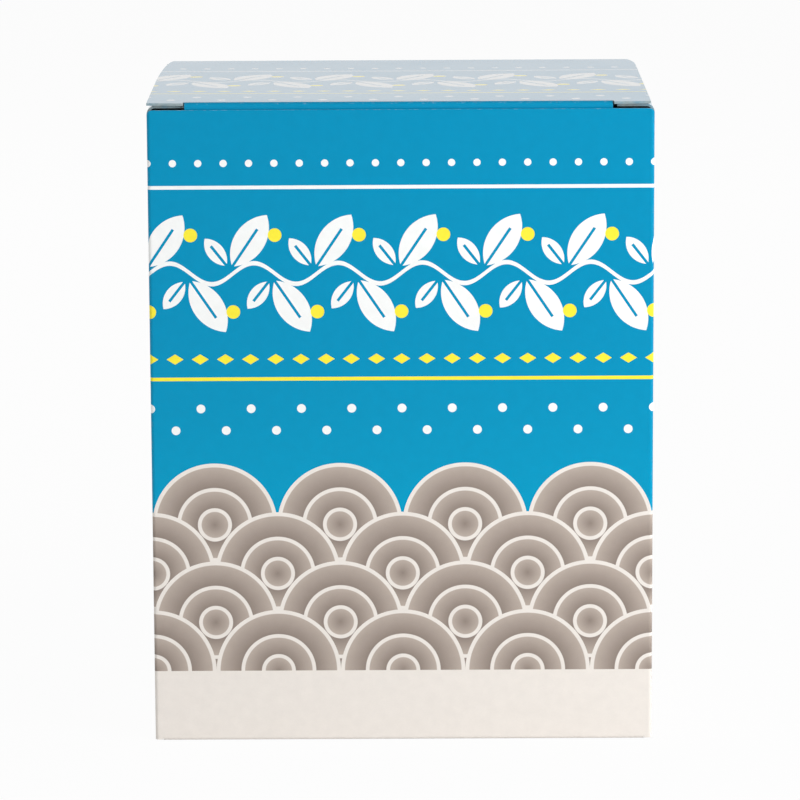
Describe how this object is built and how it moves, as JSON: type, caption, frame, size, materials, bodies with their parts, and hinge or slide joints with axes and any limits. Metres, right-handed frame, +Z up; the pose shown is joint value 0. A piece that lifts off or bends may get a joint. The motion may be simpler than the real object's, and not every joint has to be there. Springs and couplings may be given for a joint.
{
  "type": "mushroom grow kit carton",
  "caption": "Folding carton of a mushroom grow kit: a creased board sleeve with a glued seam, a tuck lid with a slit lock, dust flaps and a hooked bottom.",
  "frame": {"origin": "middle of the rectangle that the carton's walls stand on, at the level of the table", "axes": "+Z up, +Y towards the back wall that carries the lid, +X to the right as seen from the front"},
  "size_m": [0.125, 0.092, 0.1615],
  "materials": {
    "printed_board": "gloss",
    "print_bleed": "satin",
    "bare_board": "satin",
    "board_inside": "matte"
  },
  "bodies": {
    "carton": {"sleeve": "printed_board", "bottom_flap_front": "bare_board", "bottom_flap_left": "board_inside", "bottom_flap_right": "board_inside", "bottom_flap_back": "board_inside"},
    "lid": {"lid": "printed_board"},
    "tuck_flap": {"tuck_flap": "print_bleed"},
    "dust_flap_left": {"dust_flap_left": "bare_board"},
    "dust_flap_right": {"dust_flap_right": "bare_board"}
  },
  "joints": [
    {"name": "lid_hinge", "type": "hinge", "parent": "carton", "child": "lid", "pos_m": [0, 0.046, 0.1615], "axis": [-1, 0, 0], "range_deg": [0, 200]},
    {"name": "tuck_hinge", "type": "hinge", "parent": "lid", "child": "tuck_flap", "pos_m": [0, -0.0451, 0.1615], "axis": [1, 0, 0], "range_deg": [0, 40]},
    {"name": "dust_hinge_left", "type": "hinge", "parent": "carton", "child": "dust_flap_left", "pos_m": [-0.0625, 0, 0.1606], "axis": [0, -1, 0], "range_deg": [0, 105]},
    {"name": "dust_hinge_right", "type": "hinge", "parent": "carton", "child": "dust_flap_right", "pos_m": [0.0625, 0, 0.1606], "axis": [0, 1, 0], "range_deg": [0, 105]}
  ],
  "couplings": [
    {"joint": "dust_hinge_left", "follows": "lid_hinge", "ratio": 0.5},
    {"joint": "dust_hinge_right", "follows": "lid_hinge", "ratio": 0.5}
  ]
}
